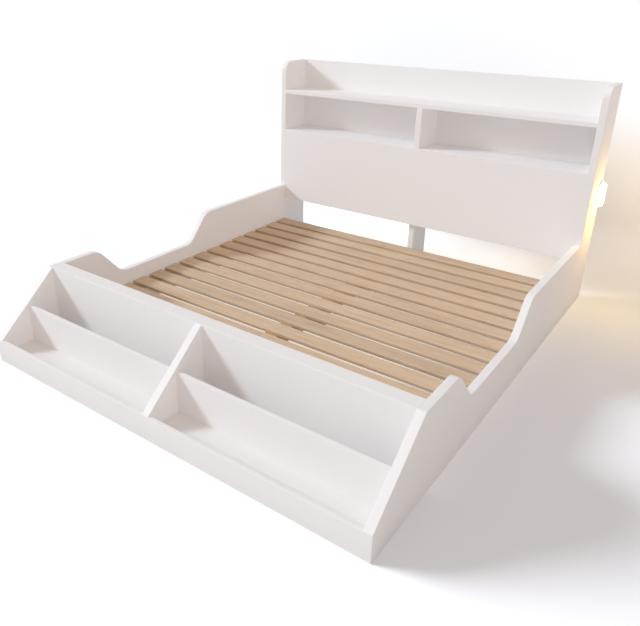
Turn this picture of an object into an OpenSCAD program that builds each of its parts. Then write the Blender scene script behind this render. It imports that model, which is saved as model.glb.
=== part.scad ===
// Double bed with a two-tier rack at the foot, scooped side rails and a headboard with shelves.
// Left and right are as seen from the foot. The model stands on z = 0, its foot is at the low end of Y.

/* [Mattress] */
// Width of the mattress that the bed holds
mattress_w = 2000; // [1400:10:2000]
// Length of the mattress that the bed holds
mattress_l = 1900; // [1800:10:2100]
// Room left round the mattress on each side
mattress_gap = 4; // [2:1:15]

/* [Boards] */
// Thickness of the side boards, the footboard and the upright dividers
board = 36; // [30:1:42]
// Thickness of the headboard's shelves
shelf_board = 25; // [20:1:30]
// Thickness of the panels, the lip and the rack's floor
thin_board = 18; // [15:1:22]
// Depth that a shelf's end is let into the side board
housing = 8; // [5:1:12]
// Distance from the front edge at which a housing stops
housing_stop = 14; // [8:1:30]
// Free space left round a piece that is let into another
fit = 0.2; // [0.1:0.1:0.5]

/* [Side rails] */
// Height of the rails and of the footboard
rail_h = 398; // [360:1:440]
// Height of a rail at the bottom of its scoop
scoop_floor = 230; // [190:1:270]
// Length of the level stretch between the footboard and the scoop
hump_l = 216; // [150:1:260]
// Length of the scoop, corner to corner, at the top of the rail
scoop_l = 853; // [600:1:950]
// Slope of the scoop's two ends
scoop_angle = 48; // [40:1:60]
// Radius at the scoop's corners
scoop_r = 90; // [40:1:110]
// Radius at the other visible corners of the side boards' outlines
outline_r = 5; // [3:1:12]

/* [Foot rack] */
// Depth of the rack in front of its back panel
rack_d = 330; // [260:1:400]
// Height of the lip at the rack's front
lip_h = 117; // [90:1:150]
// Height of the top of the rack's floor
rack_floor_z = 55; // [45:1:70]
// Distance from the rack's front to the low panel between its tiers
mid_panel_y = 170; // [130:1:200]
// Height of the top of the low panel between its tiers
mid_panel_top = 245; // [180:1:260]
// Width of each bearer under the rack's floor
bearer_w = 36; // [20:1:50]
// Number of bearers under the rack's floor
bearer_n = 5; // [3:1:7]

/* [Headboard] */
// Depth of the headboard
head_d = 250; // [200:1:320]
// Height of the headboard
head_h = 1255; // [1150:1:1350]
// Radius of the rounded top corners at the front of the headboard's sides
head_corner_r = 60; // [30:1:90]
// Height of the underside of the top shelf
top_shelf_z = 1047; // [1000:1:1090]
// Height of the top of the cubbies' floor
cubby_floor_z = 802; // [700:1:900]
// Height of the lower edge of the front panel
panel_foot_z = 306; // [290:1:360]
// Depth of the centre leg under the headboard
head_leg_d = 190; // [120:1:190]
// Distance from the headboard's front to the centre leg
head_leg_back = 40; // [20:1:50]

/* [Slatted base] */
// Height of the top of the slats
slat_top = 150; // [140:1:180]
// Width of a slat
slat_w = 93; // [60:1:100]
// Thickness of a slat
slat_t = 18; // [14:1:24]
// Free space between the footboard and the first slat
slat_foot_gap = 59; // [20:1:120]
// Number of slats
slat_n = 15; // [10:1:15]
// Free space between the last slat and the headboard
slat_head_gap = 6; // [2:1:20]
// Rounding of a slat's long edges
slat_edge_r = 4; // [2:0.5:6]
// Width of the ledgers that carry the ends of the slats
ledger_w = 30; // [25:1:45]
// Height of the ledgers
ledger_h = 45; // [38:1:55]
// Width of the centre beam
beam_w = 70; // [50:1:100]
// Height of the centre beam
beam_h = 70; // [50:1:85]
// Side of a square leg under the centre beam
beam_leg_w = 60; // [45:1:70]
// Thickness of the glides under the legs
glide_t = 4; // [2:1:8]

/* [Metal fittings] */
// Thickness of the steel of the brackets and plates
steel_t = 3; // [2:0.5:5]
// Length of each leg of an angle bracket
angle_leg = 45; // [35:1:55]
// Width of an angle bracket
angle_w = 26; // [20:1:35]
// Length of the plates that join the rails to the headboard
plate_l = 140; // [110:1:180]
// Height of the plates that join the rails to the headboard
plate_h = 50; // [35:1:60]
// Diameter of the wood screws
screw_d = 4; // [3:0.5:5]
// Diameter of the heads of the wood screws
screw_head_d = 8; // [7:0.5:10]
// Length of the screws that hold the fittings
fitting_screw_l = 22; // [16:1:28]
// Length of the screws that hold the ledgers
ledger_screw_l = 55; // [45:1:60]
// Length of the screws that hold the slats
slat_screw_l = 35; // [28:1:45]
// Diameter of the bolts that join the footboard to the rack
bolt_d = 6; // [5:1:8]
// Diameter of the heads of those bolts
bolt_head_d = 14; // [12:1:18]
// Thickness of the heads of those bolts
bolt_head_t = 3; // [2:0.5:5]

/* [Side light] */
// Width of the light's base
light_w = 62; // [50:1:80]
// Height of the light's base
light_h = 142; // [110:1:170]
// Thickness of the light's base
light_base_t = 8; // [5:1:12]
// Distance that the light's cover stands out from its base
light_cover_d = 24; // [16:1:30]
// Wall of the light's cover
light_wall = 2; // [1.5:0.5:3]
// Rounding of the cover's outer edge
light_edge_r = 14; // [8:1:15]
// Rim of the base that shows round the cover
light_rim = 3; // [1:0.5:5]
// Height of the light's centre
light_z = 655; // [500:1:800]
// Distance from the back of the headboard to the light's centre
light_back = 52; // [45:1:100]

/* [Hidden] */
$fn = 48;
corner_steps = 12;
slack = 0.01;

well_w = mattress_w + 2 * mattress_gap;
well_l = mattress_l + 2 * mattress_gap;
half_well = well_w / 2;
half_bed = half_well + board;
foot_rear = rack_d + 2 * board;
head_front = foot_rear + well_l;
bed_l = head_front + head_d;
back_front = bed_l - thin_board;

scoop_drop = rail_h - scoop_floor;
scoop_run = scoop_drop / tan(scoop_angle);
scoop_start = foot_rear + hump_l;
scoop_end = scoop_start + scoop_l;

ledger_top = slat_top - slat_t;
beam_foot = ledger_top - beam_h;
leg_front = head_front + head_leg_back;
beam_leg_ys = [for (i = [-1:1]) bed_l / 2 + i * well_l / 4];

slat_l = well_w - 2 * mattress_gap;
first_slat_y = foot_rear + slat_foot_gap;
slat_pitch = (well_l - slat_foot_gap - slat_head_gap - slat_w) / (slat_n - 1);
ledger_x = half_well - ledger_w / 2;

low_plate_z = 15;
bracket_space = 14;
plate_screw_inset = 12;
hanger_d = 50;
hanger_flange = 25;
hanger_drop = 14;
hanger_top = ledger_top - hanger_drop;
ledger_screw_n = 7;
ledger_screw_inset = 60;
ledger_screw_up = 14;
ledger_screw_z = ledger_top - ledger_h + ledger_screw_up;
bolt_up = 26;
bolt_drop = 98;
bolt_inset = 380;
bolt_rows = [bolt_up, rail_h - bolt_drop];
bolt_columns = [-half_well + bolt_inset, 0, half_well - bolt_inset];
bolt_reach = 24;

led_n = 5;
led_board_t = 1.6;
led_d = 5;
led_h = 2;

function two_digits(n) = str(n < 10 ? "0" : "", n);
function slat_name(i) = str("slat_", two_digits(i + 1));

// Outlines
function unit(v) = v / norm(v);
function turn_between(a, b) = ((b - a + 540) % 360) - 180;

// Points of one corner p between its neighbours a and b, rounded to radius r
function corner(a, p, b, r) =
    r == 0 ? [p] :
    let (
        u = unit(a - p),
        v = unit(b - p),
        half = acos(u * v) / 2,
        reach = r / tan(half),
        centre = p + unit(u + v) * r / sin(half),
        first = p + u * reach - centre,
        last = p + v * reach - centre,
        from = atan2(first.y, first.x),
        turn = turn_between(from, atan2(last.y, last.x))
    )
    [for (i = [0:corner_steps])
        let (angle = from + turn * i / corner_steps)
        centre + r * [cos(angle), sin(angle)]];

// Closed outline from corners given as [across, up, radius]
function rounded_outline(corners) =
    let (n = len(corners))
    [for (i = [0:n - 1])
        let (a = corners[(i + n - 1) % n], p = corners[i], b = corners[(i + 1) % n])
        each corner([a.x, a.y], [p.x, p.y], [b.x, b.y], p.z)];

// Helpers
// Puts a piece that is drawn from the foot's front face into the bed's own frame
module in_bed() {
    translate([0, -bed_l / 2, 0]) children();
}

// Plain box between two corners
module box(low, high) {
    translate(low) cube(high - low);
}

// Upright board whose outline lies in the YZ plane, from x to x + thickness
module upright(x, thickness) {
    translate([x, 0, 0]) rotate([90, 0, 90]) linear_extrude(thickness) children();
}

// Copies a piece to the other side of the bed
module both_sides() {
    children();
    mirror([1, 0, 0]) children();
}

// Wood screw whose head lies flush at z = 0 and whose shank points down
module wood_screw(length, spare = 0) {
    r = screw_d / 2 + spare;
    head_r = screw_head_d / 2 + spare;
    tip = screw_d;
    rotate_extrude() polygon([
        [0, 0],
        [head_r, 0],
        [r, -(head_r - r)],
        [r, -length + tip],
        [0, -length - spare],
    ]);
}

// Angle bracket: one leg along +X, one along +Z, its width centred on Y
module angle_bracket() {
    difference() {
        rotate([90, 0, 0]) translate([0, 0, -angle_w / 2]) linear_extrude(angle_w)
            polygon(rounded_outline([
                [0, 0, 0],
                [angle_leg, 0, 0],
                [angle_leg, steel_t, 0],
                [steel_t, steel_t, steel_t / 2],
                [steel_t, angle_leg, 0],
                [0, angle_leg, 0],
            ]));
        angle_bracket_screws(fit);
    }
}

module angle_bracket_screws(spare = 0) {
    at = angle_leg - plate_screw_inset;
    translate([at, 0, steel_t]) wood_screw(fitting_screw_l, spare);
    translate([steel_t, 0, at]) rotate([0, 90, 0]) wood_screw(fitting_screw_l, spare);
}

// Side rails
function rail_outline() = rounded_outline([
    [0, 0, 0],
    [head_front, 0, 0],
    [head_front, rail_h, 0],
    [scoop_end, rail_h, scoop_r],
    [scoop_end - scoop_run, scoop_floor, scoop_r],
    [scoop_start + scoop_run, scoop_floor, scoop_r],
    [scoop_start, rail_h, scoop_r],
    [rack_d, rail_h, outline_r],
    [0, lip_h, outline_r],
]);

module side_rail() {
    difference() {
        upright(half_well, board) polygon(rail_outline());
        mid_panel_ear(fit);
        ledger_screw_row(fit);
        head_plate_screws(fit);
        foot_bracket_places() angle_bracket_screws(fit);
    }
}

module side_rail_left() {
    color("whitesmoke") in_bed() mirror([1, 0, 0]) side_rail();
}

module side_rail_right() {
    color("whitesmoke") in_bed() side_rail();
}

// Foot rack
module rack_lip() {
    color("whitesmoke") in_bed() box([-half_well, 0, 0], [half_well, thin_board, lip_h]);
}

module rack_floor() {
    color("whitesmoke") in_bed()
        box([-half_well, thin_board, rack_floor_z - thin_board], [half_well, rack_d, rack_floor_z]);
}

module rack_floor_bearers() {
    step = (well_w - bearer_w) / (bearer_n - 1);
    color("burlywood") in_bed() for (i = [0:bearer_n - 1])
        translate([-half_well + i * step, thin_board, 0])
            cube([bearer_w, rack_d - thin_board, rack_floor_z - thin_board]);
}

module rack_back_panel() {
    color("whitesmoke") in_bed() difference() {
        box([-half_well, rack_d, 0], [half_well, rack_d + board, rail_h]);
        footboard_bolt_set(fit);
    }
}

// The divider follows the slope of the side boards and sits over the lip with a notch
module rack_centre_divider() {
    slope = (rail_h - lip_h) / rack_d;
    nose = 3;
    color("whitesmoke") in_bed() upright(-board / 2, board) polygon([
        [thin_board, rack_floor_z],
        [rack_d, rack_floor_z],
        [rack_d, rail_h],
        [nose, lip_h + slope * nose],
        [nose, lip_h],
        [thin_board, lip_h],
    ]);
}

// Tongue of a low panel that is let into the side board
module mid_panel_ear(spare = 0) {
    box(
        [half_well - slack, mid_panel_y - spare, rack_floor_z - spare],
        [half_well + housing + spare, mid_panel_y + thin_board + spare, mid_panel_top - housing_stop + spare]
    );
}

module rack_mid_panel() {
    box([board / 2, mid_panel_y, rack_floor_z], [half_well, mid_panel_y + thin_board, mid_panel_top]);
    mid_panel_ear();
}

module rack_mid_panel_left() {
    color("whitesmoke") in_bed() mirror([1, 0, 0]) rack_mid_panel();
}

module rack_mid_panel_right() {
    color("whitesmoke") in_bed() rack_mid_panel();
}

// Footboard
module footboard_bolt(spare = 0) {
    translate([0, foot_rear, 0]) rotate([90, 0, 0])
        cylinder(d = bolt_d + 2 * spare, h = board + bolt_reach + spare);
    translate([0, foot_rear - spare, 0]) rotate([-90, 0, 0])
        cylinder(d = bolt_head_d + 2 * spare, h = bolt_head_t + spare);
}

module footboard_bolt_set(spare = 0) {
    for (x = bolt_columns, z = bolt_rows)
        translate([x, 0, z]) footboard_bolt(spare);
}

module footboard_bolts() {
    color("silver") in_bed() footboard_bolt_set();
}

module footboard() {
    color("whitesmoke") in_bed() difference() {
        box([-half_well, foot_rear - board, 0], [half_well, foot_rear, rail_h]);
        footboard_bolt_set(fit);
        foot_bracket_places() angle_bracket_screws(fit);
        mirror([1, 0, 0]) foot_bracket_places() angle_bracket_screws(fit);
        hanger_screws(fit);
    }
}

// Headboard
function head_side_outline() = rounded_outline([
    [head_front, 0, 0],
    [bed_l, 0, 0],
    [bed_l, head_h, outline_r],
    [head_front, head_h, head_corner_r],
]);

// Tongue of a shelf that is let into the side board
module shelf_ear(low_z, high_z, spare = 0) {
    box(
        [half_well - slack, head_front + housing_stop - spare, low_z - spare],
        [half_well + housing + spare, back_front + spare, high_z + spare]
    );
}

module headboard_side() {
    difference() {
        upright(half_well, board) polygon(head_side_outline());
        shelf_ear(top_shelf_z, top_shelf_z + shelf_board, fit);
        shelf_ear(cubby_floor_z - shelf_board, cubby_floor_z, fit);
        head_plate_screws(fit);
    }
}

module headboard_side_left() {
    color("whitesmoke") in_bed() mirror([1, 0, 0]) headboard_side();
}

module headboard_side_right() {
    color("whitesmoke") in_bed() headboard_side();
}

module headboard_back_panel() {
    color("whitesmoke") in_bed() box([-half_well, back_front, panel_foot_z], [half_well, bed_l, head_h]);
}

module headboard_front_panel() {
    color("whitesmoke") in_bed()
        box([-half_well, head_front, panel_foot_z], [half_well, head_front + thin_board, cubby_floor_z]);
}

module headboard_top_shelf() {
    top = top_shelf_z + shelf_board;
    color("whitesmoke") in_bed() {
        box([-half_well, head_front, top_shelf_z], [half_well, back_front, top]);
        both_sides() shelf_ear(top_shelf_z, top);
    }
}

module headboard_cubby_floor() {
    under = cubby_floor_z - shelf_board;
    color("whitesmoke") in_bed() {
        box([-half_well, head_front + thin_board, under], [half_well, back_front, cubby_floor_z]);
        both_sides() intersection() {
            shelf_ear(under, cubby_floor_z);
            box([0, head_front + thin_board, 0], [half_bed, bed_l, head_h]);
        }
    }
}

module headboard_cubby_divider() {
    color("whitesmoke") in_bed()
        box([-board / 2, head_front, cubby_floor_z], [board / 2, back_front, top_shelf_z]);
}

module headboard_bottom_board() {
    color("whitesmoke") in_bed() box(
        [-half_well, head_front + thin_board, panel_foot_z],
        [half_well, back_front, panel_foot_z + thin_board]
    );
}

module headboard_inner_partition() {
    color("whitesmoke") in_bed() box(
        [-thin_board / 2, head_front + thin_board, panel_foot_z + thin_board],
        [thin_board / 2, back_front, cubby_floor_z - shelf_board]
    );
}

module headboard_centre_leg() {
    color("whitesmoke") in_bed() difference() {
        box([-board / 2, leg_front, glide_t], [board / 2, leg_front + head_leg_d, panel_foot_z]);
        beam_rear_place() angle_bracket_screws(fit);
    }
}

// Slatted base
module ledger_screw_row(spare = 0) {
    step = (well_l - 2 * ledger_screw_inset) / (ledger_screw_n - 1);
    for (i = [0:ledger_screw_n - 1])
        translate([half_well - ledger_w, foot_rear + ledger_screw_inset + i * step, ledger_screw_z])
            rotate([0, -90, 0]) wood_screw(ledger_screw_l, spare);
}

// One row of screws along a slat: one at each ledger and one at the beam
module slat_screw(i, spare = 0) {
    translate([0, slat_y(i) + slat_w / 2, slat_top]) wood_screw(slat_screw_l, spare);
}

module slat_screw_column(spare = 0) {
    for (i = [0:slat_n - 1])
        slat_screw(i, spare);
}

function slat_y(i) = first_slat_y + i * slat_pitch;

module ledger() {
    difference() {
        box(
            [half_well - ledger_w, foot_rear + fit, ledger_top - ledger_h],
            [half_well, head_front - fit, ledger_top]
        );
        ledger_screw_row(fit);
        translate([ledger_x, 0, 0]) slat_screw_column(fit);
    }
}

module ledger_left() {
    color("burlywood") in_bed() mirror([1, 0, 0]) ledger();
}

module ledger_right() {
    color("burlywood") in_bed() ledger();
}

module ledger_screws() {
    color("silver") in_bed() both_sides() ledger_screw_row();
}

module centre_beam() {
    color("burlywood") in_bed() difference() {
        box([-beam_w / 2, foot_rear, beam_foot], [beam_w / 2, leg_front, ledger_top]);
        slat_screw_column(fit);
        beam_rear_place() angle_bracket_screws(fit);
        hanger_screws(fit);
    }
}

module beam_leg(y) {
    color("burlywood") in_bed() translate([-beam_leg_w / 2, y - beam_leg_w / 2, glide_t])
        cube([beam_leg_w, beam_leg_w, beam_foot - glide_t]);
}

module beam_leg_front() {
    beam_leg(beam_leg_ys[0]);
}

module beam_leg_middle() {
    beam_leg(beam_leg_ys[1]);
}

module beam_leg_rear() {
    beam_leg(beam_leg_ys[2]);
}

module leg_glides() {
    glide_inset = 4;
    color("dimgray") in_bed() {
        for (y = beam_leg_ys)
            translate([0, y, 0]) cylinder(d = beam_leg_w - 2 * glide_inset, h = glide_t);
        for (y = [leg_front + board / 2, leg_front + head_leg_d - board / 2])
            translate([0, y, 0]) cylinder(d = board - 2 * glide_inset, h = glide_t);
    }
}

module slat(i) {
    r = slat_edge_r;
    color("tan") in_bed() difference() {
        translate([-slat_l / 2, slat_y(i), slat_top - slat_t]) rotate([90, 0, 90]) linear_extrude(slat_l)
            union() {
                translate([r, 0]) square([slat_w - 2 * r, slat_t]);
                translate([0, r]) square([slat_w, slat_t - 2 * r]);
                for (y = [r, slat_w - r], z = [r, slat_t - r])
                    translate([y, z]) circle(r);
            }
        for (x = [-ledger_x, 0, ledger_x])
            translate([x, 0, 0]) slat_screw(i, fit);
    }
}

module slat_screws() {
    color("silver") in_bed() for (x = [-ledger_x, 0, ledger_x])
        translate([x, 0, 0]) slat_screw_column();
}

// Metal fittings
module head_plate_screws(spare = 0) {
    for (along = [-1, 1], out = [plate_screw_inset, plate_l / 2 - plate_screw_inset], up = [-1, 1])
        translate([
            half_well - steel_t,
            head_front + along * out,
            low_plate_z + plate_h / 2 + up * (plate_h / 2 - plate_screw_inset),
        ])
            rotate([0, -90, 0]) wood_screw(fitting_screw_l, spare);
}

module head_joint_plates() {
    color("silver") in_bed() both_sides() difference() {
        box(
            [half_well - steel_t, head_front - plate_l / 2, low_plate_z],
            [half_well, head_front + plate_l / 2, low_plate_z + plate_h]
        );
        head_plate_screws(fit);
    }
}

// Two brackets in the corner between the footboard and the right rail
module foot_bracket_places() {
    for (i = [0, 1])
        translate([half_well, foot_rear, low_plate_z + angle_w / 2 + i * (angle_w + bracket_space)])
            rotate([90, 0, 180]) children();
}

module foot_corner_brackets() {
    color("silver") in_bed() both_sides() foot_bracket_places() angle_bracket();
}

// Bracket in the corner between the beam's underside and the headboard's centre leg
module beam_rear_place() {
    translate([0, leg_front, beam_foot]) rotate([180, 0, -90]) children();
}

module beam_rear_bracket() {
    color("silver") in_bed() beam_rear_place() angle_bracket();
}

module hanger_screws(spare = 0) {
    z_low = beam_foot + plate_screw_inset;
    z_high = hanger_top - plate_screw_inset;
    both_sides() for (z = [z_low, z_high])
        translate([beam_w / 2 + steel_t + hanger_flange / 2, foot_rear + steel_t, z])
            rotate([-90, 0, 0]) wood_screw(fitting_screw_l, spare);
    both_sides()
        translate([beam_w / 2 + steel_t, foot_rear + hanger_d / 2, (z_low + z_high) / 2])
            rotate([0, 90, 0]) wood_screw(fitting_screw_l, spare);
}

module beam_hanger() {
    inner = beam_w / 2;
    outer = inner + steel_t;
    color("silver") in_bed() difference() {
        union() {
            box([-outer, foot_rear, beam_foot - steel_t], [outer, foot_rear + hanger_d, beam_foot]);
            both_sides() {
                box([inner, foot_rear, beam_foot - steel_t], [outer, foot_rear + hanger_d, hanger_top]);
                box([inner, foot_rear, beam_foot], [outer + hanger_flange, foot_rear + steel_t, hanger_top]);
            }
        }
        hanger_screws(fit);
    }
}

module fitting_screws() {
    color("gray") in_bed() {
        both_sides() head_plate_screws();
        both_sides() foot_bracket_places() angle_bracket_screws();
        beam_rear_place() angle_bracket_screws();
        hanger_screws();
    }
}

// Side light, on the outer face of the right headboard side
module light_place() {
    translate([half_bed, bed_l - light_back, light_z]) children();
}

module light_outline(inset = 0) {
    r = light_w / 2 - inset;
    reach = (light_h - light_w) / 2;
    translate([-r, -reach]) square([2 * r, 2 * reach]);
    for (up = [-1, 1])
        translate([0, up * reach]) circle(r);
}

module light_base() {
    color("white") in_bed() light_place() rotate([90, 0, 90]) linear_extrude(light_base_t) light_outline();
}

// Long rounded bulge that stands on the light's base
module light_bulge(inset) {
    r = light_w / 2 - light_rim - inset;
    reach = (light_h - light_w) / 2;
    depth = light_cover_d - inset;
    edge = light_edge_r - inset;
    rotate([0, 90, 0]) {
        for (up = [-1, 1])
            translate([up * reach, 0, 0]) rotate_extrude()
                polygon(rounded_outline([[0, 0, 0], [r, 0, 0], [r, depth, edge], [0, depth, 0]]));
        translate([-reach, 0, 0]) rotate([90, 0, 90]) linear_extrude(2 * reach)
            polygon(rounded_outline([[-r, 0, 0], [r, 0, 0], [r, depth, edge], [-r, depth, edge]]));
    }
}

module light_cover() {
    color("lightyellow") in_bed() light_place() translate([light_base_t, 0, 0]) difference() {
        light_bulge(0);
        translate([-slack, 0, 0]) light_bulge(light_wall);
    }
}

module light_led_board() {
    width = light_w / 2;
    height = light_h - light_w;
    step = height / led_n;
    color("lemonchiffon") in_bed() light_place() translate([light_base_t, 0, 0]) {
        translate([0, -width / 2, -height / 2]) cube([led_board_t, width, height]);
        for (i = [0:led_n - 1])
            translate([led_board_t - slack, 0, (i - (led_n - 1) / 2) * step])
                rotate([0, 90, 0]) cylinder(d = led_d, h = led_h);
    }
}

side_rail_left();
side_rail_right();
headboard_side_left();
headboard_side_right();
headboard_back_panel();
headboard_top_shelf();
headboard_cubby_floor();
headboard_cubby_divider();
headboard_front_panel();
headboard_bottom_board();
headboard_inner_partition();
headboard_centre_leg();
footboard();
rack_back_panel();
rack_mid_panel_left();
rack_mid_panel_right();
rack_lip();
rack_floor();
rack_centre_divider();
rack_floor_bearers();
ledger_left();
ledger_right();
centre_beam();
beam_leg_front();
beam_leg_middle();
beam_leg_rear();
leg_glides();
head_joint_plates();
foot_corner_brackets();
beam_hanger();
beam_rear_bracket();
fitting_screws();
ledger_screws();
slat_screws();
footboard_bolts();
light_base();
light_cover();
light_led_board();
for (i = [0:slat_n - 1])
    slat(i);
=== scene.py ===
"""Finishes a double bed with shelves: painted boards, slats, steel fittings, side light and studio."""
import collections
import math

import bpy
from mathutils import Matrix, Vector


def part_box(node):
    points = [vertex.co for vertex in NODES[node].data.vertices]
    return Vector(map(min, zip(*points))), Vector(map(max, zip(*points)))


bl_info = {
    "name": "Double bed with shelves",
    "version": (1, 0, 0),
    "blender": (4, 5, 0),
    "location": "View3D > Sidebar > Bed",
    "description": "Finishes and lights a double bed with a foot rack and a headboard with shelves",
    "category": "Object",
}

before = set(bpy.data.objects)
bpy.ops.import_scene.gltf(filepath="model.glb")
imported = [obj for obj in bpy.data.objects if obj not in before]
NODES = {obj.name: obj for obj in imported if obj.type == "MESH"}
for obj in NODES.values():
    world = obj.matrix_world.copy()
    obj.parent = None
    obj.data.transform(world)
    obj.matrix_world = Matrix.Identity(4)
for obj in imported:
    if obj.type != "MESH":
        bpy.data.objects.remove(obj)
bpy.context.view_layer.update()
PHOTO_WIDTH = 640
PHOTO_HEIGHT = 626
SENSOR_WIDTH = 36.0
VIEW_REACH = 200.0
# Pieces that are nearer to each other than this touch
TOUCH = 0.0006
# Corners that are nearer to each other than this are one
MERGE = 0.00001
# Faces that turn by less than this are one
FLAT = math.radians(1.0)
# Edges that turn by more than this are rounded
SHARP = math.radians(30.0)
# Shares of an edge's length at which it is tested for a piece that covers it
EDGE_SPOTS = (0.2, 0.7)
ROUNDING_STEPS = 3
COVE_STEPS = 16
BATTEN_LATE_WOOD = 0.62
LAMP_DISTANCE = 4.0
GLOW_RADIUS = 0.05
# The way the light travels, the width of its disc in degrees, its colour, whether it casts a shadow,
# and whether it lights the backdrop alone or all the rest
Lamp = collections.namedtuple("Lamp", "direction softness colour shadow backdrop")
LAMPS = {
    "key": Lamp((0.776, 0.427, -0.465), 11.0, (0.745, 0.869, 1.0), True, False),
    "right_fill": Lamp((-0.844, 0.447, -0.298), 40.0, (0.983, 0.954, 1.0), False, False),
    "low_fill": Lamp((0.0, 0.0, 1.0), 40.0, (0.67, 0.832, 1.0), False, False),
    "backdrop_key": Lamp((0.886, 0.319, -0.337), 26.0, (0.85, 0.92, 1.0), True, True),
}

CROSSWISE_BOARDS = (
    "headboard_back_panel",
    "headboard_top_shelf",
    "headboard_cubby_floor",
    "headboard_front_panel",
    "headboard_bottom_board",
    "footboard",
    "rack_back_panel",
    "rack_mid_panel_left",
    "rack_mid_panel_right",
    "rack_lip",
    "rack_floor",
)
LENGTHWISE_BOARDS = (
    "side_rail_left",
    "side_rail_right",
    "rack_centre_divider",
)
UPRIGHT_BOARDS = (
    "headboard_side_left",
    "headboard_side_right",
    "headboard_cubby_divider",
    "headboard_inner_partition",
    "headboard_centre_leg",
)
LENGTHWISE_BATTENS = ("ledger_left", "ledger_right", "centre_beam", "rack_floor_bearers")
UPRIGHT_BATTENS = ("beam_leg_front", "beam_leg_middle", "beam_leg_rear")
STEEL_PARTS = (
    "head_joint_plates",
    "foot_corner_brackets",
    "beam_hanger",
    "beam_rear_bracket",
    "fitting_screws",
    "ledger_screws",
    "slat_screws",
    "footboard_bolts",
)
SLATS = sorted(name for name in NODES if name.startswith("slat_") and name[5:].isdigit())


def screen_colour(red, green, blue):
    """Linear colour of a colour as a screen shows it, each part from 0 to 255."""
    parts = [part / 255 for part in (red, green, blue)]
    return tuple(
        part / 12.92 if part <= 0.04045 else ((part + 0.055) / 1.055) ** 2.4
        for part in parts
    )


class PaintProperties(bpy.types.PropertyGroup):
    """Painted boards."""

    colour: bpy.props.FloatVectorProperty(
        name="Paint",
        description="Colour of the painted boards",
        default=screen_colour(238, 234, 231),
        subtype="COLOR",
        min=0.0,
        max=1.0,
    )
    edge_round: bpy.props.FloatProperty(
        name="Edge rounding",
        description="Rounding of the boards' edges",
        default=0.0018,
        min=0.0005,
        max=0.0025,
        unit="LENGTH",
    )
    roughness: bpy.props.FloatProperty(
        name="Roughness",
        description="Roughness of the paint",
        default=0.58,
        min=0.1,
        max=0.9,
        subtype="FACTOR",
    )
    mottle: bpy.props.FloatProperty(
        name="Mottle",
        description="How much the paint's tone drifts over a board",
        default=0.03,
        min=0.0,
        max=0.2,
        subtype="FACTOR",
    )


class WoodProperties(bpy.types.PropertyGroup):
    """Slats and battens."""

    light: bpy.props.FloatVectorProperty(
        name="Light wood",
        description="Colour of the slats' early wood",
        default=screen_colour(215, 188, 158),
        subtype="COLOR",
        min=0.0,
        max=1.0,
    )
    dark: bpy.props.FloatVectorProperty(
        name="Dark wood",
        description="Colour of the slats' late wood and pores",
        default=screen_colour(178, 144, 112),
        subtype="COLOR",
        min=0.0,
        max=1.0,
    )
    batten: bpy.props.FloatVectorProperty(
        name="Battens",
        description="Colour of the ledgers, the beam, its legs and the bearers",
        default=screen_colour(206, 178, 140),
        subtype="COLOR",
        min=0.0,
        max=1.0,
    )
    edge_round: bpy.props.FloatProperty(
        name="Batten edges",
        description="Rounding of the battens' edges",
        default=0.0015,
        min=0.0005,
        max=0.0025,
        unit="LENGTH",
    )
    tone_spread: bpy.props.FloatProperty(
        name="Tone spread",
        description="How much one slat's tone differs from the next",
        default=0.12,
        min=0.0,
        max=0.4,
        subtype="FACTOR",
    )


class FittingProperties(bpy.types.PropertyGroup):
    """Steel, plastic and the side light."""

    steel: bpy.props.FloatVectorProperty(
        name="Steel",
        description="Colour of the zinc plated fittings",
        default=screen_colour(196, 198, 200),
        subtype="COLOR",
        min=0.0,
        max=1.0,
    )
    glide: bpy.props.FloatVectorProperty(
        name="Glides",
        description="Colour of the plastic glides",
        default=screen_colour(92, 90, 88),
        subtype="COLOR",
        min=0.0,
        max=1.0,
    )
    light_base: bpy.props.FloatVectorProperty(
        name="Light base",
        description="Colour of the side light's base",
        default=screen_colour(238, 236, 231),
        subtype="COLOR",
        min=0.0,
        max=1.0,
    )
    light_board: bpy.props.FloatVectorProperty(
        name="Light board",
        description="Colour of the board that carries the small lamps",
        default=screen_colour(228, 222, 196),
        subtype="COLOR",
        min=0.0,
        max=1.0,
    )
    glow: bpy.props.FloatVectorProperty(
        name="Glow",
        description="Colour of the side light's cover towards its edge",
        default=screen_colour(255, 206, 120),
        subtype="COLOR",
        min=0.0,
        max=1.0,
    )
    glow_strength: bpy.props.FloatProperty(
        name="Glow strength",
        description="Brightness of the light's cover",
        default=9.0,
        min=0.0,
        max=50.0,
    )


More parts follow.
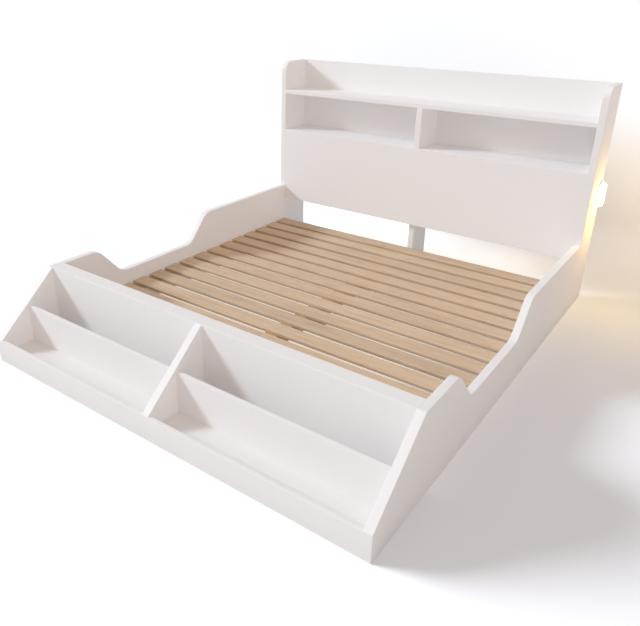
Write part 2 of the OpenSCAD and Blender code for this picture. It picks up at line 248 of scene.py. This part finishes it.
class StudioProperties(bpy.types.PropertyGroup):
    """Camera, lamps and floor."""

    camera_place: bpy.props.FloatVectorProperty(
        name="Camera",
        description="Where the camera stands",
        default=(1.7295, -2.7152, 1.6793),
        subtype="TRANSLATION",
        unit="LENGTH",
    )
    camera_turn: bpy.props.FloatProperty(
        name="Turn",
        description="How far the camera is turned to the left of the bed's length",
        default=math.radians(36.69),
        subtype="ANGLE",
    )
    camera_tilt: bpy.props.FloatProperty(
        name="Tilt",
        description="How far the camera looks down",
        default=math.radians(23.04),
        subtype="ANGLE",
    )
    camera_roll: bpy.props.FloatProperty(
        name="Roll",
        description="How far the camera is tipped sideways",
        default=math.radians(0.48),
        subtype="ANGLE",
    )
    focal_pixels: bpy.props.FloatProperty(
        name="Focal length",
        description="Focal length in pixels of the photograph",
        default=654.8,
        min=200.0,
        max=3000.0,
    )
    optical_centre: bpy.props.FloatVectorProperty(
        name="Optical centre",
        description="Optical centre in pixels of the photograph, from its upper left corner",
        default=(277.7, 272.0),
        size=2,
    )
    key: bpy.props.FloatProperty(
        name="Key strength",
        description="Strength of the light on the bed from the front left",
        default=2.3,
        min=0.0,
        max=20.0,
    )
    right_fill: bpy.props.FloatProperty(
        name="Right fill",
        description="Strength of the light from the front right, which casts no shadow",
        default=0.5,
        min=0.0,
        max=20.0,
    )
    low_fill: bpy.props.FloatProperty(
        name="Low fill",
        description="Strength of the light from below, which casts no shadow",
        default=0.968,
        min=0.0,
        max=20.0,
    )
    backdrop_key: bpy.props.FloatProperty(
        name="Backdrop key",
        description="Strength of the light on the floor and the wall",
        default=5.4,
        min=0.0,
        max=20.0,
    )
    glow_colour: bpy.props.FloatVectorProperty(
        name="Thrown glow",
        description="Colour of the light that the side light throws",
        default=(1.0, 0.64, 0.15),
        subtype="COLOR",
        min=0.0,
        max=1.0,
    )
    glow_power: bpy.props.FloatProperty(
        name="Glow power",
        description="Power of the light that the side light throws",
        default=3.9,
        min=0.0,
        max=100.0,
        unit="POWER",
    )
    glow_reach: bpy.props.FloatProperty(
        name="Glow distance",
        description="How far out from the side light its lamp stands",
        default=0.14,
        min=0.02,
        max=0.5,
        unit="LENGTH",
    )
    sky_colour: bpy.props.FloatVectorProperty(
        name="Sky colour",
        description="Colour of the even light from all round",
        default=(1.0, 0.888, 0.824),
        subtype="COLOR",
        min=0.0,
        max=1.0,
    )
    sky_strength: bpy.props.FloatProperty(
        name="Sky strength",
        description="Strength of the even light from all round",
        default=0.653,
        min=0.0,
        max=5.0,
    )
    floor_colour: bpy.props.FloatVectorProperty(
        name="Floor and wall",
        description="Colour of the floor and the wall as they are seen",
        default=(0.93, 0.945, 0.98),
        subtype="COLOR",
        min=0.0,
        max=1.0,
    )
    floor_bounce: bpy.props.FloatVectorProperty(
        name="Bounce",
        description="Colour of the light that the floor and the wall throw back on the bed",
        default=(0.52, 0.51, 0.50),
        subtype="COLOR",
        min=0.0,
        max=1.0,
    )
    backdrop_size: bpy.props.FloatProperty(
        name="Backdrop",
        description="Side of the square floor and of the wall",
        default=80.0,
        min=10.0,
        unit="LENGTH",
    )
    # Painted light: colour of the glow that the camera alone sees on the shaded floor between the slats
    painted_light_under_bed_colour: bpy.props.FloatVectorProperty(
        name="Tint under the bed",
        description="Colour that is added to the floor between the slats as it is seen",
        default=(1.0, 0.9, 0.8),
        subtype="COLOR",
        min=0.0,
        max=1.0,
    )
    # Painted light: strength of the glow that the camera alone sees on the shaded floor between the slats
    painted_light_under_bed: bpy.props.FloatProperty(
        name="Floor under the bed",
        description="How much brighter the camera sees the floor between the slats",
        default=0.6,
        min=0.0,
        max=1.0,
        subtype="FACTOR",
    )
    wall_gap: bpy.props.FloatProperty(
        name="Gap to the wall",
        description="Distance from the headboard's back to the wall",
        default=0.55,
        min=0.0,
        unit="LENGTH",
    )
    cove: bpy.props.FloatProperty(
        name="Cove",
        description="Radius of the curve between the floor and the wall",
        default=0.35,
        min=0.05,
        max=0.5,
        unit="LENGTH",
    )


class Value:
    """A socket of a node tree. Arithmetic on it adds Math nodes."""

    def __init__(self, graph, socket):
        self.graph = graph
        self.socket = socket

    def maths(self, operation, *terms):
        """A Math node on the terms."""
        inputs = dict(enumerate(terms))
        return self.graph.node("ShaderNodeMath", {"operation": operation}, inputs)

    def other(self, output):
        """Another output of the same node."""
        return Value(self.graph, self.socket.node.outputs[output])

    def __add__(self, term):
        return self.maths("ADD", self, term)

    __radd__ = __add__

    def __sub__(self, term):
        return self.maths("SUBTRACT", self, term)

    def __rsub__(self, term):
        return self.maths("SUBTRACT", term, self)

    def __mul__(self, term):
        return self.maths("MULTIPLY", self, term)

    __rmul__ = __mul__

    def __truediv__(self, term):
        return self.maths("DIVIDE", self, term)

    def __rtruediv__(self, term):
        return self.maths("DIVIDE", term, self)

    def floor(self):
        return self.maths("FLOOR", self)

    def above(self, level):
        """1 above a level and 0 elsewhere."""
        return self.maths("GREATER_THAN", self, level)

    def between(self, low, high):
        """0 at low, 1 at high, smooth between them."""
        inputs = {"Value": self, "From Min": low, "From Max": high}
        return self.graph.node("ShaderNodeMapRange", {"interpolation_type": "SMOOTHSTEP"}, inputs)


class Graph:
    """A node tree, filled by one method."""

    # A Mix node's two terms and its result, for colours and for places
    MIX = {"RGBA": (6, 7, 2), "VECTOR": (4, 5, 1)}

    def __init__(self, tree):
        self.tree = tree
        self.tree.nodes.clear()

    def node(self, kind, settings, inputs, output=0):
        """Adds a node with its settings and its numbers or links, and returns one of its outputs."""
        made = self.tree.nodes.new(kind)
        for name, setting in settings.items():
            setattr(made, name, setting)
        for name, value in inputs.items():
            socket = made.inputs[name]
            if isinstance(value, Value):
                self.tree.links.new(value.socket, socket)
            elif isinstance(value, tuple) and len(socket.default_value) == 4:
                socket.default_value = (*value, 1.0)
            else:
                socket.default_value = value
        outputs = made.outputs
        return Value(self, outputs[output]) if len(outputs) else None

    def mixed(self, factor, first, second, kind="RGBA", blend="MIX"):
        """A colour or a place between two others."""
        start, end, result = self.MIX[kind]
        settings = {"data_type": kind, "blend_type": blend}
        return self.node("ShaderNodeMix", settings, {0: factor, start: first, end: second}, result)

    def largest(self, first, *rest):
        """The largest of several values."""
        for term in rest:
            first = first.maths("MAXIMUM", first, term)
        return first

    def seen(self):
        """1 for what the camera sees, straight, mirrored or through glass, and 0 for light on the bed."""
        rays = self.node("ShaderNodeLightPath", {}, {}, "Is Camera Ray")
        return self.largest(rays, rays.other("Is Glossy Ray"), rays.other("Is Transmission Ray"))


class Finish(Graph):
    """One material and its node tree."""

    def __init__(self, name):
        self.material = bpy.data.materials.new(name)
        self.material.use_nodes = True
        super().__init__(self.material.node_tree)
        self.place = self.node("ShaderNodeTexCoord", {}, {}, "Object")

    def toned(self, colour, *levels):
        """A colour times one level, or times a level for each of red, green and blue."""
        if len(levels) == 1:
            levels *= 3
        grey = self.node("ShaderNodeCombineColor", {}, dict(zip(("Red", "Green", "Blue"), levels)))
        return self.mixed(1.0, colour, grey, blend="MULTIPLY")

    def stretched(self, axis, along, across, shift=(0.0, 0.0, 0.0)):
        """The place on the object, moved on by a vector and stretched along one axis."""
        scale = tuple(along if part == axis else across for part in "XYZ")
        moved = self.node("ShaderNodeVectorMath", {"operation": "ADD"}, {0: self.place, 1: shift})
        return self.node("ShaderNodeVectorMath", {"operation": "MULTIPLY"}, {0: moved, 1: scale})

    def noise(self, vector, scale, detail=2.0, distortion=0.0):
        inputs = {"Vector": vector, "Scale": scale, "Detail": detail, "Distortion": distortion}
        return self.node("ShaderNodeTexNoise", {}, inputs)

    def bump(self, height, distance, strength):
        inputs = {"Height": height, "Distance": distance, "Strength": strength}
        return self.node("ShaderNodeBump", {}, inputs)

    def surface(self, **inputs):
        """Closes the material with a Principled surface. Underscores in the names stand for spaces."""
        sockets = {name.replace("_", " "): value for name, value in inputs.items()}
        shader = self.node("ShaderNodeBsdfPrincipled", {}, sockets)
        self.node("ShaderNodeOutputMaterial", {}, {"Surface": shader})
        return self.material


def paint_finish(name, axis, paint):
    """Satin paint on a board: a soft roller texture over faint grain, and at the foot specks of dirt with
    painted shade, darker towards the floor.
    """
    # Height and depth of the dirt specks and painted shade at a board's foot
    dust_and_shade_top = 0.09
    most_dust_and_shade = 0.10
    finish = Finish(name)
    drift = finish.noise(finish.place, scale=1.7, detail=3.0)
    cloudy = finish.noise(finish.place, scale=14.0)
    grain = finish.noise(finish.stretched(axis, 1.2, 46.0), scale=3.0, detail=5.0, distortion=0.4)
    roller = finish.noise(finish.place, scale=520.0, distortion=0.2)
    specks = finish.noise(finish.place, scale=9.0, detail=4.0)
    height = finish.node("ShaderNodeSeparateXYZ", {}, {"Vector": finish.place}, "Z")
    # Painted shade with dirt: the paint darkens in specks towards the floor and grows rougher there
    dust_and_shade = (1.0 - height.between(0.0, dust_and_shade_top)) * specks * most_dust_and_shade
    shade = 1.0 - paint.mottle * 0.5 + (drift * 0.6 + cloudy * 0.4 - 0.5) * paint.mottle
    tone = shade + (grain - 0.5) * 0.012 - dust_and_shade
    return finish.surface(
        Base_Color=finish.toned(tuple(paint.colour), tone, tone - dust_and_shade * 0.1, tone - dust_and_shade * 0.3),
        Roughness=paint.roughness + (cloudy - 0.5) * 0.12 + dust_and_shade * 0.8,
        Normal=finish.bump(roller * 0.6 + grain * 0.4, distance=0.00022, strength=0.6),
    )


def wood_finish(name, axis, light, dark, seed=0.0, tones=None, spread=0.0):
    """Planed wood with its grain along one axis. tones gives each piece a number from 0 to 1."""
    between_pieces = 9.7
    finish = Finish(name)
    piece = tones(finish) if tones else 0.0
    shift = finish.node("ShaderNodeCombineXYZ", {}, dict.fromkeys("XYZ", piece * between_pieces + seed))
    rings = finish.noise(finish.stretched(axis, 0.5, 11.0, shift), scale=2.6, detail=4.0, distortion=1.1)
    bands = rings.maths("PINGPONG", rings * 9.0, 1.0)
    fibre = finish.noise(finish.stretched(axis, 5.0, 330.0, shift), scale=1.6, detail=4.0, distortion=0.3)
    pores = finish.noise(finish.stretched(axis, 14.0, 900.0, shift), scale=1.2).between(0.60, 0.72)
    patches = finish.noise(finish.stretched(axis, 0.9, 3.0, shift), scale=2.0)
    depth = bands * 0.35 + fibre * 0.35 + pores * 0.30 + (patches - 0.5) * 0.3
    wood = finish.mixed(depth.between(0.15, 1.05), light, dark)
    warmth = finish.mixed(patches, (1.03, 0.99, 0.97), (0.97, 1.0, 0.96))
    warmed = finish.mixed(1.0, wood, warmth, blend="MULTIPLY")
    return finish.surface(
        Base_Color=finish.toned(warmed, 1.0 + (piece - 0.5) * spread),
        Roughness=0.52 + fibre * 0.14 + pores * 0.1,
        Normal=finish.bump(1.0 - pores * 0.7 - fibre * 0.3, distance=0.00025, strength=0.5),
    )


def slat_tones(finish):
    """A different number for each slat, from its place along the bed."""
    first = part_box(SLATS[0])[0].y
    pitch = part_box(SLATS[1])[0].y - first
    slack = 0.1
    along = finish.node("ShaderNodeSeparateXYZ", {}, {"Vector": finish.place}, "Y")
    index = ((along - first) / pitch + slack).floor()
    return finish.node("ShaderNodeTexWhiteNoise", {"noise_dimensions": "1D"}, {"W": index}, "Value")


def steel_finish(colour):
    """Zinc plated steel with a fine spangle and rubbed spots."""
    finish = Finish("zinc_steel")
    spangle = finish.node("ShaderNodeTexVoronoi", {}, {"Vector": finish.place, "Scale": 260.0}, "Color")
    patch = finish.node("ShaderNodeSeparateColor", {}, {"Color": spangle}, "Red")
    rubbed = finish.noise(finish.place, scale=70.0, detail=3.0)
    return finish.surface(
        Base_Color=finish.toned(colour, 0.9 + patch * 0.1 + (rubbed - 0.5) * 0.12),
        Metallic=1.0,
        Roughness=0.26 + rubbed * 0.16 + patch * 0.06,
        Normal=finish.bump(patch * 0.4 + rubbed * 0.6, distance=0.0001, strength=0.4),
    )


def plastic_finish(name, colour, roughness):
    """Moulded plastic with a fine even grain."""
    finish = Finish(name)
    grain = finish.noise(finish.place, scale=1500.0)
    cloud = finish.noise(finish.place, scale=30.0)
    return finish.surface(
        Base_Color=finish.toned(colour, 0.98 + (cloud - 0.5) * 0.05),
        Roughness=roughness + (grain - 0.5) * 0.1,
        Normal=finish.bump(grain, distance=0.00008, strength=0.4),
    )


def glow_finish(glow, strength):
    """Opal cover, brightest over the row of small lamps inside."""
    hot = (1.0, 0.93, 0.78)
    opal = (0.95, 0.92, 0.85)
    speckled = (0.85, 0.8, 0.7)
    finish = Finish("lit_cover")
    low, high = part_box("light_cover")
    middle = (low + high) / 2
    place = finish.node("ShaderNodeSeparateXYZ", {}, {"Vector": finish.place}, "Y")
    across = (place - middle.y) / ((high.y - low.y) / 2)
    along = (place.other("Z") - middle.z) / ((high.z - low.z) / 2)
    edge = (across * across * 0.8 + along * along * 0.8).between(0.3, 1.3)
    speck = finish.noise(finish.place, scale=300.0)
    return finish.surface(
        Base_Color=finish.mixed(speck * 0.06, opal, speckled),
        Roughness=0.35,
        Emission_Color=finish.mixed(edge, hot, glow),
        Emission_Strength=strength,
    )


def dress(names, material):
    """Gives CAD pieces their finish."""
    for name in names:
        piece = NODES[name]
        if not piece.material_slots:
            piece.data.materials.append(material)
        for slot in piece.material_slots:
            slot.material = material


def near(name, others):
    """Boxes of the other pieces whose box touches this piece's box."""
    reach = Vector((TOUCH, TOUCH, TOUCH))
    low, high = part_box(name)
    low, high = low - reach, high + reach
    boxes = [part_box(other) for other in others if other != name]
    return [
        (near_low, near_high)
        for near_low, near_high in boxes
        if all(near_low[axis] < high[axis] and low[axis] < near_high[axis] for axis in range(3))
    ]


def bare_edges(name, others):
    """Geometry nodes that mark a piece's sharp edges for rounding, save those that another piece covers."""
    group = bpy.data.node_groups.new(f"edges_{name}", "GeometryNodeTree")
    for side in ("INPUT", "OUTPUT"):
        group.interface.new_socket("Geometry", in_out=side, socket_type="NodeSocketGeometry")
    graph = Graph(group)
    piece = graph.node("NodeGroupInput", {}, {})
    covers = graph.node("GeometryNodeJoinGeometry", {}, {})
    for low, high in near(name, others):
        cube = graph.node("GeometryNodeMeshCube", {}, {"Size": high - low})
        inputs = {"Geometry": cube, "Translation": (low + high) / 2}
        placed = graph.node("GeometryNodeTransform", {}, inputs)
        group.links.new(placed.socket, covers.socket.node.inputs[0])
    start = graph.node("GeometryNodeInputMeshEdgeVertices", {}, {}, "Position 1")
    gaps = []
    for share in EDGE_SPOTS:
        spot = graph.mixed(share, start, start.other("Position 2"), kind="VECTOR")
        inputs = {0: covers, "Sample Position": spot}
        gaps.append(graph.node("GeometryNodeProximity", {}, inputs, "Distance"))
    turn = graph.node("GeometryNodeInputMeshEdgeAngle", {}, {}, "Unsigned Angle")
    weight = graph.largest(*gaps).above(TOUCH) * turn.above(SHARP)
    settings = {"data_type": "FLOAT", "domain": "EDGE"}
    inputs = {"Geometry": piece, "Name": "bevel_weight_edge", "Value": weight}
    marked = graph.node("GeometryNodeStoreNamedAttribute", settings, inputs)
    graph.node("NodeGroupOutput", {}, {"Geometry": marked})
    return group


def soften(names, radius, others=()):
    """Rounds the edges of CAD pieces with live modifiers, which leave their meshes alone."""
    for name in names:
        piece = NODES[name]
        weld = piece.modifiers.new("Join the facets", "WELD")
        weld.merge_threshold = MERGE
        flatten = piece.modifiers.new("Clear flat faces", "DECIMATE")
        flatten.decimate_type = "DISSOLVE"
        flatten.angle_limit = FLAT
        marks = piece.modifiers.new("Mark the bare edges", "NODES")
        marks.node_group = bare_edges(name, others or names)
        rounding = piece.modifiers.new("Round the edges", "BEVEL")
        rounding.width = radius
        rounding.segments = ROUNDING_STEPS
        rounding.limit_method = "WEIGHT"
        rounding.use_clamp_overlap = False
        shading = piece.modifiers.new("Even shading", "WEIGHTED_NORMAL")
        shading.keep_sharp = True


def pick_edges(piece, wanted):
    """Goes to edit mode with the edges selected whose two ends both lie where they are wanted."""
    bpy.ops.object.mode_set(mode="EDIT")
    bpy.ops.mesh.select_mode(type="EDGE")
    bpy.ops.mesh.select_all(action="DESELECT")
    bpy.ops.object.mode_set(mode="OBJECT")
    corners = [piece.matrix_world @ vertex.co for vertex in piece.data.vertices]
    for edge in piece.data.edges:
        edge.select = all(wanted(corners[end]) for end in edge.vertices)
    bpy.ops.object.mode_set(mode="EDIT")


class BED_OT_paint_boards(bpy.types.Operator):
    """Rounds the edges of the painted boards and gives them their paint"""

    bl_idname = "bed.paint_boards"
    bl_label = "Paint the boards"

    def execute(self, context):
        paint = context.scene.bed_paint
        groups = (
            ("paint_crosswise", "X", CROSSWISE_BOARDS),
            ("paint_lengthwise", "Y", LENGTHWISE_BOARDS),
            ("paint_upright", "Z", UPRIGHT_BOARDS),
        )
        all_boards = CROSSWISE_BOARDS + LENGTHWISE_BOARDS + UPRIGHT_BOARDS
        for name, axis, boards in groups:
            dress(boards, paint_finish(name, axis, paint))
            soften(boards, paint.edge_round, all_boards)
        return {"FINISHED"}


class BED_OT_finish_slats(bpy.types.Operator):
    """Gives the slats their wood, each with its own grain and tone"""

    bl_idname = "bed.finish_slats"
    bl_label = "Finish the slats"

    def execute(self, context):
        wood = context.scene.bed_wood
        light, dark = tuple(wood.light), tuple(wood.dark)
        finish = wood_finish("slat_wood", "X", light, dark, tones=slat_tones, spread=wood.tone_spread)
        dress(SLATS, finish)
        return {"FINISHED"}


class BED_OT_finish_battens(bpy.types.Operator):
    """Rounds the edges of the ledgers, the beam, its legs and the bearers and gives them their wood"""

    bl_idname = "bed.finish_battens"
    bl_label = "Finish the battens"

    def execute(self, context):
        wood = context.scene.bed_wood
        light = tuple(wood.batten)
        dark = tuple(part * BATTEN_LATE_WOOD for part in wood.batten)
        for axis, first_seed, battens in (("Y", 3.0, LENGTHWISE_BATTENS), ("Z", 13.0, UPRIGHT_BATTENS)):
            for seed, name in enumerate(battens):
                dress([name], wood_finish(f"wood_{name}", axis, light, dark, first_seed + seed))
        soften(LENGTHWISE_BATTENS + UPRIGHT_BATTENS, wood.edge_round)
        return {"FINISHED"}


class BED_OT_finish_fittings(bpy.types.Operator):
    """Gives the plates, brackets, screws, bolts and glides their steel and plastic"""

    bl_idname = "bed.finish_fittings"
    bl_label = "Finish the fittings"

    def execute(self, context):
        fittings = context.scene.bed_fittings
        dress(STEEL_PARTS, steel_finish(tuple(fittings.steel)))
        dress(["leg_glides"], plastic_finish("glide_plastic", tuple(fittings.glide), roughness=0.55))
        return {"FINISHED"}


class BED_OT_finish_light(bpy.types.Operator):
    """Gives the side light its white base, the board with the small lamps and its glowing cover"""

    bl_idname = "bed.finish_light"
    bl_label = "Finish the side light"

    def execute(self, context):
        fittings = context.scene.bed_fittings
        dress(["light_base"], plastic_finish("light_plastic", tuple(fittings.light_base), roughness=0.4))
        board = plastic_finish("board_plastic", tuple(fittings.light_board), roughness=0.5)
        dress(["light_led_board"], board)
        dress(["light_cover"], glow_finish(tuple(fittings.glow), fittings.glow_strength))
        return {"FINISHED"}


class BED_OT_set_stage(bpy.types.Operator):
    """Adds the floor, the wall, the white surround, the lamps and the camera"""

    bl_idname = "bed.set_stage"
    bl_label = "Set the stage"

    def execute(self, context):
        studio = context.scene.bed_studio
        context.scene.view_settings.view_transform = "Standard"
        backdrop = self.backdrop(studio)
        self.surround(context.scene, studio)
        for name, lamp in LAMPS.items():
            self.sun(name, lamp, getattr(studio, name), backdrop)
        self.side_glow(studio)
        self.camera(context.scene, studio)
        return {"FINISHED"}

    def backdrop(self, studio):
        """A floor, and a wall behind the headboard that meets it in a curve."""
        material = self.backdrop_finish(studio)
        size = studio.backdrop_size
        wall_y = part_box("headboard_back_panel")[1].y + studio.wall_gap
        places = {
            "floor": ((0.0, 0.0, 0.0), 0.0),
            "wall": ((0.0, wall_y, size / 2), math.radians(90.0)),
        }
        planes = []
        for name, (place, tilt) in places.items():
            bpy.ops.object.select_all(action="DESELECT")
            bpy.ops.mesh.primitive_plane_add(size=size, location=place, rotation=(tilt, 0.0, 0.0))
            plane = bpy.context.object
            plane.name = name
            plane.data.materials.append(material)
            planes.append(plane)
        self.cove(planes[-1], studio.cove)
        return planes

    def cove(self, wall, radius):
        """Draws the wall's foot forwards and rounds the bend, so that wall and floor have no corner."""
        spare = 1.1
        wall_y = wall.location.y
        pick_edges(wall, lambda end: abs(end.z) < TOUCH)
        bpy.ops.mesh.extrude_region_move(TRANSFORM_OT_translate={"value": (0.0, -spare * radius, 0.0)})
        pick_edges(wall, lambda end: abs(end.z) < TOUCH and abs(end.y - wall_y) < TOUCH)
        bpy.ops.mesh.bevel(offset=radius, segments=COVE_STEPS, affect="EDGES")
        bpy.ops.object.mode_set(mode="OBJECT")
        wall.location.z += TOUCH
        wall.data.shade_smooth()

    def backdrop_finish(self, studio):
        """A matt pale surface that throws less light on the bed than it shows, with painted light on the
        floor under the bed, clear from behind.
        """
        finish = Finish("pale_backdrop")
        bounce = finish.node("ShaderNodeBsdfDiffuse", {}, {"Color": tuple(studio.floor_bounce)})
        matt = finish.node("ShaderNodeBsdfDiffuse", {}, {"Color": tuple(studio.floor_colour)})
        # Painted light: a glow that only the camera sees on the floor between the slats, where the bed's
        # shade falls
        painted_light_tint = finish.node("ShaderNodeEmission", {}, {"Color": tuple(studio.painted_light_under_bed_colour)})
        added = finish.node("ShaderNodeMixShader", {}, {0: self.painted_light_under_bed(finish, studio), 2: painted_light_tint})
        shown = finish.node("ShaderNodeAddShader", {}, {0: matt, 1: added})
        front = finish.node("ShaderNodeMixShader", {}, {0: finish.seen(), 1: bounce, 2: shown})
        behind = finish.node("ShaderNodeNewGeometry", {}, {}, "Backfacing")
        clear = finish.node("ShaderNodeBsdfTransparent", {}, {})
        surface = finish.node("ShaderNodeMixShader", {}, {0: behind, 1: front, 2: clear})
        finish.node("ShaderNodeOutputMaterial", {}, {"Surface": surface})
        return finish.material

    def painted_light_under_bed(self, finish, studio):
        """How much painted light is added to the floor between the rails, as the camera sees it. It fades
        to the right and at the wall.
        """
        left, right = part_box("side_rail_left")[1].x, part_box("side_rail_right")[0].x
        front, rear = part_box("footboard")[1].y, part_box("headboard_front_panel")[0].y
        soft_edge = 0.02
        fade_right = (right - 0.6, right + 0.2)
        fade_rear = (rear + 0.35, rear + 1.0)
        fade_up = (0.0, 0.15)
        place = finish.node("ShaderNodeNewGeometry", {}, {}, "Position")
        across = finish.node("ShaderNodeSeparateXYZ", {}, {"Vector": place}, "X")
        along, height = across.other("Y"), across.other("Z")
        # Share of the painted light, full between the rails and fading out at the edges
        inside = across.between(left, left + soft_edge) * (1.0 - across.between(*fade_right))
        inside *= along.between(front, front + soft_edge) * (1.0 - along.between(*fade_rear))
        inside *= 1.0 - height.between(*fade_up)
        return inside * studio.painted_light_under_bed

    def surround(self, scene, studio):
        """White where it is seen, and an even light of its own colour on the bed."""
        world = bpy.data.worlds.new("surround")
        scene.world = world
        world.use_nodes = True
        graph = Graph(world.node_tree)
        light = {"Color": tuple(studio.sky_colour), "Strength": studio.sky_strength}
        sky = graph.node("ShaderNodeBackground", {}, light)
        white = graph.node("ShaderNodeBackground", {}, {"Color": (1.0, 1.0, 1.0)})
        surface = graph.node("ShaderNodeMixShader", {}, {0: graph.seen(), 1: sky, 2: white})
        graph.node("ShaderNodeOutputWorld", {}, {"Surface": surface})

    def lamp(self, name, kind, strength, colour):
        """A lamp and its object, not yet in place."""
        light = bpy.data.lights.new(name, kind)
        light.energy = strength
        light.color = colour
        holder = bpy.data.objects.new(name, light)
        bpy.context.scene.collection.objects.link(holder)
        return light, holder

    def sun(self, name, lamp, strength, backdrop):
        """A lamp for the backdrop alone, or for all but the backdrop. A fill leaves the slats out too."""
        light, holder = self.lamp(name, "SUN", strength, lamp.colour)
        light.angle = math.radians(lamp.softness)
        light.use_shadow = lamp.shadow
        direction = Vector(lamp.direction)
        holder.rotation_euler = direction.to_track_quat("-Z", "Y").to_euler()
        holder.location = -LAMP_DISTANCE * direction
        named = list(backdrop)
        if not lamp.shadow:
            named += [NODES[slat] for slat in SLATS]
        pieces = bpy.data.collections.new(f"{name}_pieces")
        for piece in named:
            pieces.objects.link(piece)
        holder.light_linking.receiver_collection = pieces
        if not lamp.backdrop:
            for entry in pieces.collection_objects:
                entry.light_linking.link_state = "EXCLUDE"

    def side_glow(self, studio):
        """The light that the side light throws on the headboard, the wall and the floor."""
        low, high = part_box("light_cover")
        light, holder = self.lamp("side_glow", "POINT", studio.glow_power, studio.glow_colour)
        light.shadow_soft_size = GLOW_RADIUS
        holder.location = (high.x + studio.glow_reach, (low.y + high.y) / 2, low.z)
        holder.visible_camera = False
        holder.visible_glossy = False

    def camera(self, scene, studio):
        """The camera at the photograph's place and angle."""
        turn, tilt, roll = studio.camera_turn, studio.camera_tilt, studio.camera_roll
        level_ahead = Vector((-math.sin(turn), math.cos(turn), 0.0))
        ahead = level_ahead * math.cos(tilt) - Vector((0.0, 0.0, math.sin(tilt)))
        level = Vector((math.cos(turn), math.sin(turn), 0.0))
        upward = level.cross(ahead)
        right = math.cos(roll) * level + math.sin(roll) * upward
        up = -math.sin(roll) * level + math.cos(roll) * upward
        lens = bpy.data.cameras.new("camera")
        lens.sensor_width = SENSOR_WIDTH
        lens.lens = studio.focal_pixels / PHOTO_WIDTH * SENSOR_WIDTH
        lens.shift_x = (PHOTO_WIDTH / 2 - studio.optical_centre[0]) / PHOTO_WIDTH
        lens.shift_y = (studio.optical_centre[1] - PHOTO_HEIGHT / 2) / PHOTO_WIDTH
        lens.clip_end = VIEW_REACH
        camera = bpy.data.objects.new("camera", lens)
        scene.collection.objects.link(camera)
        turned = Matrix((right, up, -ahead)).transposed().to_4x4()
        camera.matrix_world = Matrix.Translation(studio.camera_place) @ turned
        scene.camera = camera


PROPERTIES = {
    "bed_paint": PaintProperties,
    "bed_wood": WoodProperties,
    "bed_fittings": FittingProperties,
    "bed_studio": StudioProperties,
}
OPERATORS = (
    BED_OT_paint_boards,
    BED_OT_finish_slats,
    BED_OT_finish_battens,
    BED_OT_finish_fittings,
    BED_OT_finish_light,
    BED_OT_set_stage,
)


class BED_PT_panel(bpy.types.Panel):
    """Lists the bed's sizes, colours and steps"""

    bl_idname = "BED_PT_panel"
    bl_label = "Bed"
    bl_space_type = "VIEW_3D"
    bl_region_type = "UI"
    bl_category = "Bed"

    def draw(self, context):
        layout = self.layout
        for group in PROPERTIES:
            box = layout.box()
            settings = getattr(context.scene, group)
            for name in settings.bl_rna.properties.keys():
                if name not in ("rna_type", "name"):
                    box.prop(settings, name)
        for operator in OPERATORS:
            layout.operator(operator.bl_idname)


CLASSES = (*PROPERTIES.values(), *OPERATORS, BED_PT_panel)


def register():
    for kind in CLASSES:
        bpy.utils.register_class(kind)
    for name, kind in PROPERTIES.items():
        setattr(bpy.types.Scene, name, bpy.props.PointerProperty(type=kind))


def unregister():
    for name in PROPERTIES:
        delattr(bpy.types.Scene, name)
    for kind in reversed(CLASSES):
        bpy.utils.unregister_class(kind)


def main():
    register()
    bpy.ops.bed.paint_boards()
    bpy.ops.bed.finish_slats()
    bpy.ops.bed.finish_battens()
    bpy.ops.bed.finish_fittings()
    bpy.ops.bed.finish_light()
    bpy.ops.bed.set_stage()


if __name__ == "__main__":
    main()
